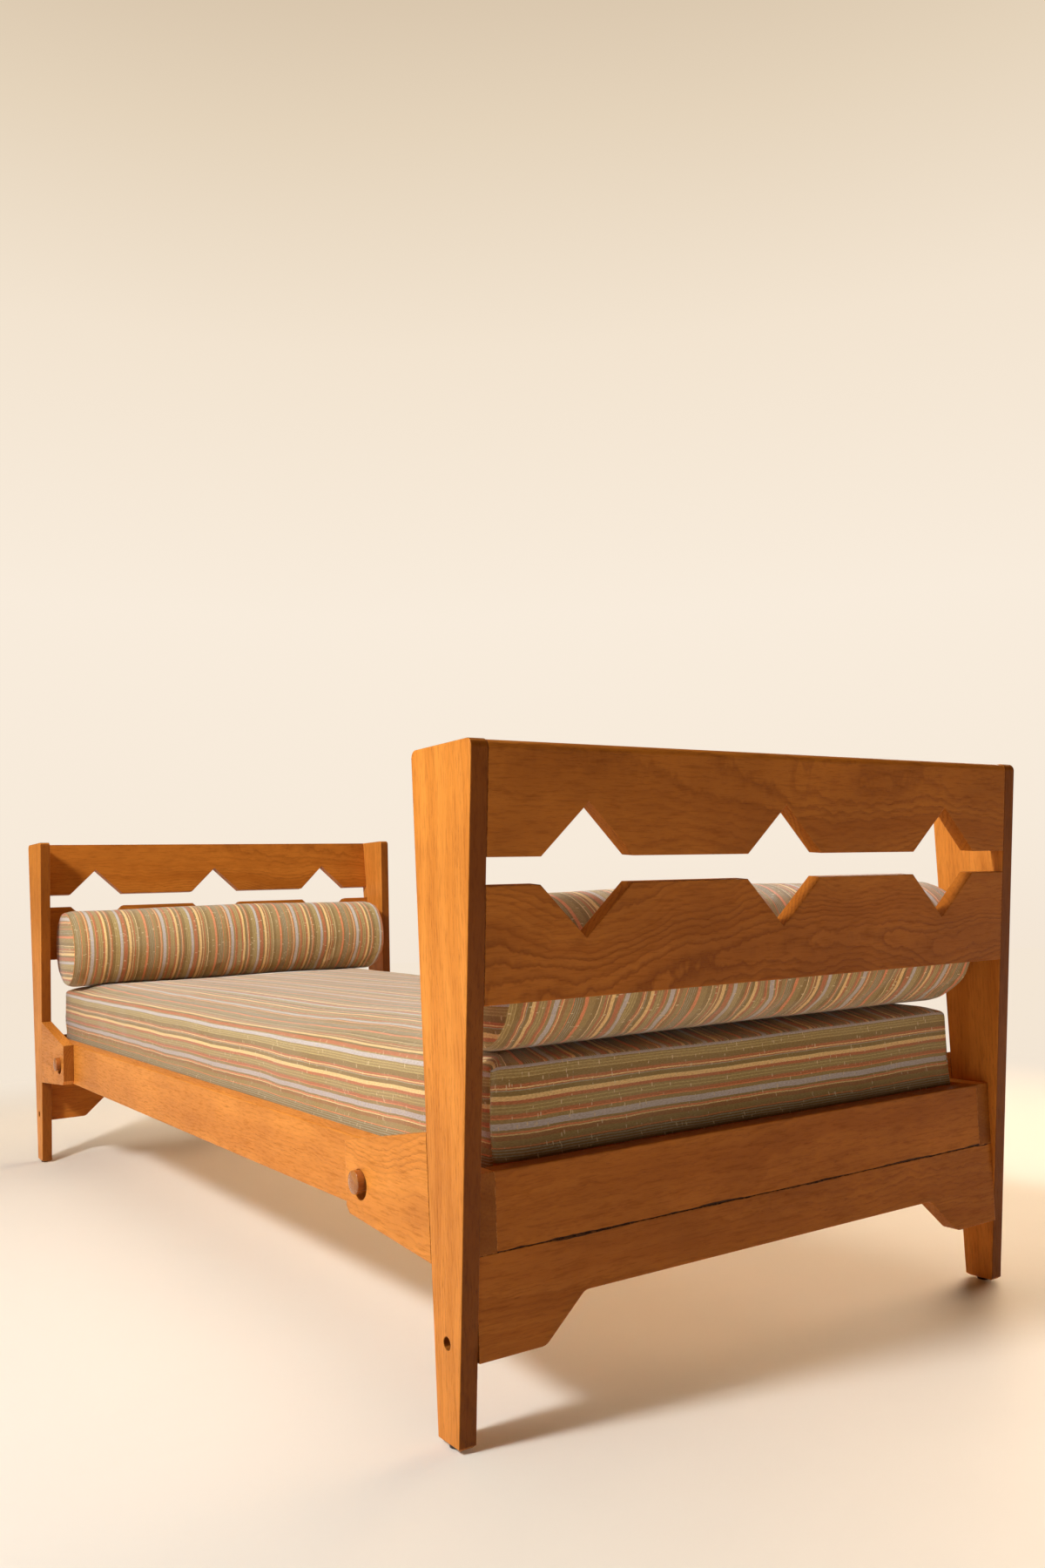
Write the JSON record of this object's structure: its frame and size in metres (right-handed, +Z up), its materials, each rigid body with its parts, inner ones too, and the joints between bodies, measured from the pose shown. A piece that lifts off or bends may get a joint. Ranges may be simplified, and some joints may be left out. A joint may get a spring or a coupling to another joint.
{
  "type": "daybed",
  "caption": "Oak daybed with flared end panels, diamond fretwork, slatted base locked by turned pegs, striped mattress and bolsters.",
  "frame": {"origin": "on the floor under the middle of the bed", "axes": "+X along the bed towards its right end, +Y towards its back long side, +Z up"},
  "size_m": [2.0112, 0.904, 0.72],
  "materials": {
    "post_oak": "satin oiled oak",
    "fret_oak": "satin oiled oak",
    "base_oak": "satin oiled oak",
    "peg_oak": "polished turned oak",
    "slat_wood": "plain sawn pine",
    "dowel_wood": "fluted beech",
    "screw_steel": "zinc plated",
    "glide": "dull dark steel",
    "striped_fabric": "woven striped twill"
  },
  "bodies": {
    "frame": {"back_rail": "base_oak", "back_slat_ledger": "slat_wood", "base_corner_dowels": "dowel_wood", "ear_dowels": "dowel_wood", "front_rail": "base_oak", "front_slat_ledger": "slat_wood", "left_apron": "base_oak", "left_back_ear": "post_oak", "left_back_glide": "glide", "left_back_post": "post_oak", "left_end_board": "base_oak", "left_front_ear": "post_oak", "left_front_glide": "glide", "left_front_post": "post_oak", "left_lower_fret": "fret_oak", "left_upper_fret": "fret_oak", "right_apron": "base_oak", "right_back_ear": "post_oak", "right_back_glide": "glide", "right_back_post": "post_oak", "right_end_board": "base_oak", "right_front_ear": "post_oak", "right_front_glide": "glide", "right_front_post": "post_oak", "right_lower_fret": "fret_oak", "right_upper_fret": "fret_oak", "slat_01": "slat_wood", "slat_02": "slat_wood", "slat_03": "slat_wood", "slat_04": "slat_wood", "slat_05": "slat_wood", "slat_06": "slat_wood", "slat_07": "slat_wood", "slat_08": "slat_wood", "slat_09": "slat_wood", "slat_10": "slat_wood", "slat_11": "slat_wood", "slat_12": "slat_wood", "slat_13": "slat_wood", "slat_14": "slat_wood", "slat_screws": "screw_steel"},
    "mattress": {"mattress": "striped_fabric"},
    "left_bolster": {"left_bolster": "striped_fabric"},
    "right_bolster": {"right_bolster": "striped_fabric"},
    "left_back_peg": {"left_back_peg": "peg_oak"},
    "left_front_peg": {"left_front_peg": "peg_oak"},
    "right_back_peg": {"right_back_peg": "peg_oak"},
    "right_front_peg": {"right_front_peg": "peg_oak"}
  },
  "joints": [
    {"name": "left_back_peg_pull", "type": "slide", "parent": "frame", "child": "left_back_peg", "axis": [0, 1, 0], "range_m": [0, 0.06]},
    {"name": "left_front_peg_pull", "type": "slide", "parent": "frame", "child": "left_front_peg", "axis": [0, -1, 0], "range_m": [0, 0.06]},
    {"name": "right_back_peg_pull", "type": "slide", "parent": "frame", "child": "right_back_peg", "axis": [0, 1, 0], "range_m": [0, 0.06]},
    {"name": "right_front_peg_pull", "type": "slide", "parent": "frame", "child": "right_front_peg", "axis": [0, -1, 0], "range_m": [0, 0.06]},
    {"name": "mattress_lift", "type": "slide", "parent": "frame", "child": "mattress", "axis": [0, 0, 1], "range_m": [0, 0.25]},
    {"name": "left_bolster_lift", "type": "slide", "parent": "mattress", "child": "left_bolster", "axis": [0, 0, 1], "range_m": [0, 0.2]},
    {"name": "right_bolster_lift", "type": "slide", "parent": "mattress", "child": "right_bolster", "axis": [0, 0, 1], "range_m": [0, 0.2]}
  ]
}
